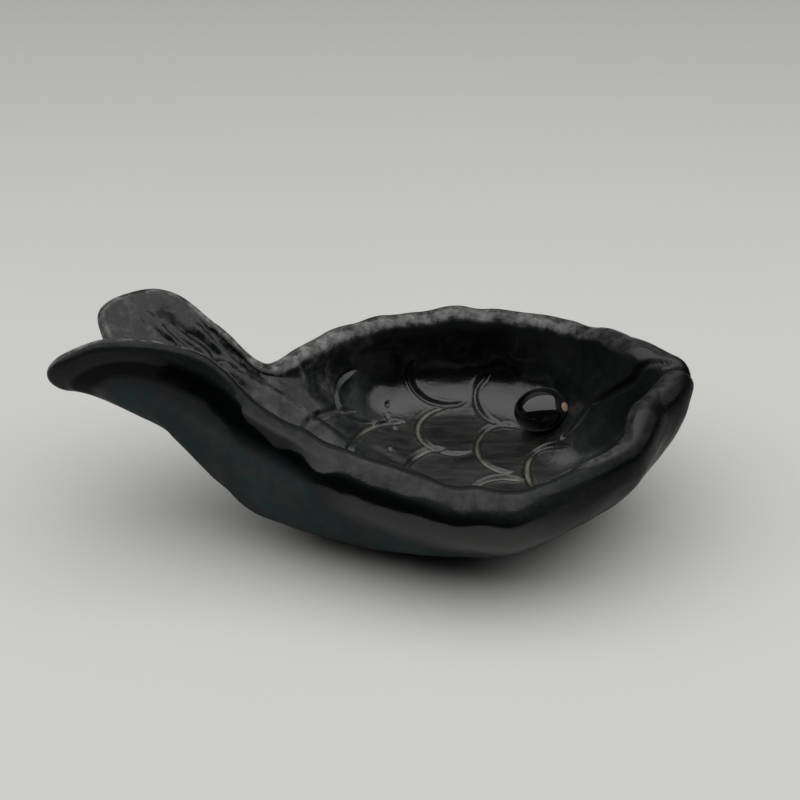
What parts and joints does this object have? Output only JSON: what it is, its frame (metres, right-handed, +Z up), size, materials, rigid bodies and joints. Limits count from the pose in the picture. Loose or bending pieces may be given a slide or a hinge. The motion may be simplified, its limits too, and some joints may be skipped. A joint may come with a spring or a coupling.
{
  "type": "fish-shaped trinket dish",
  "caption": "Hand-built fish-shaped trinket dish: a pinched bowl with a raised forked tail, an upturned open mouth and an applied eye, standing on a flat foot.",
  "frame": {"origin": "on the table, below the middle of the dish's overall box", "axes": "+X towards the fish's mouth, +Y towards its back, +Z up out of the bowl"},
  "size_m": [0.1582, 0.096, 0.0584],
  "materials": {
    "glaze": "glossy black glaze with grey break",
    "pellet_glaze": "mirror-like black glaze"
  },
  "bodies": {
    "root": {"dish_body": "glaze", "back_rim": "glaze", "belly_rim": "glaze", "tail_back_lobe": "glaze", "tail_belly_lobe": "glaze", "upper_lip": "glaze", "lower_lip": "glaze", "eye_pellet": "pellet_glaze"}
  },
  "joints": []
}
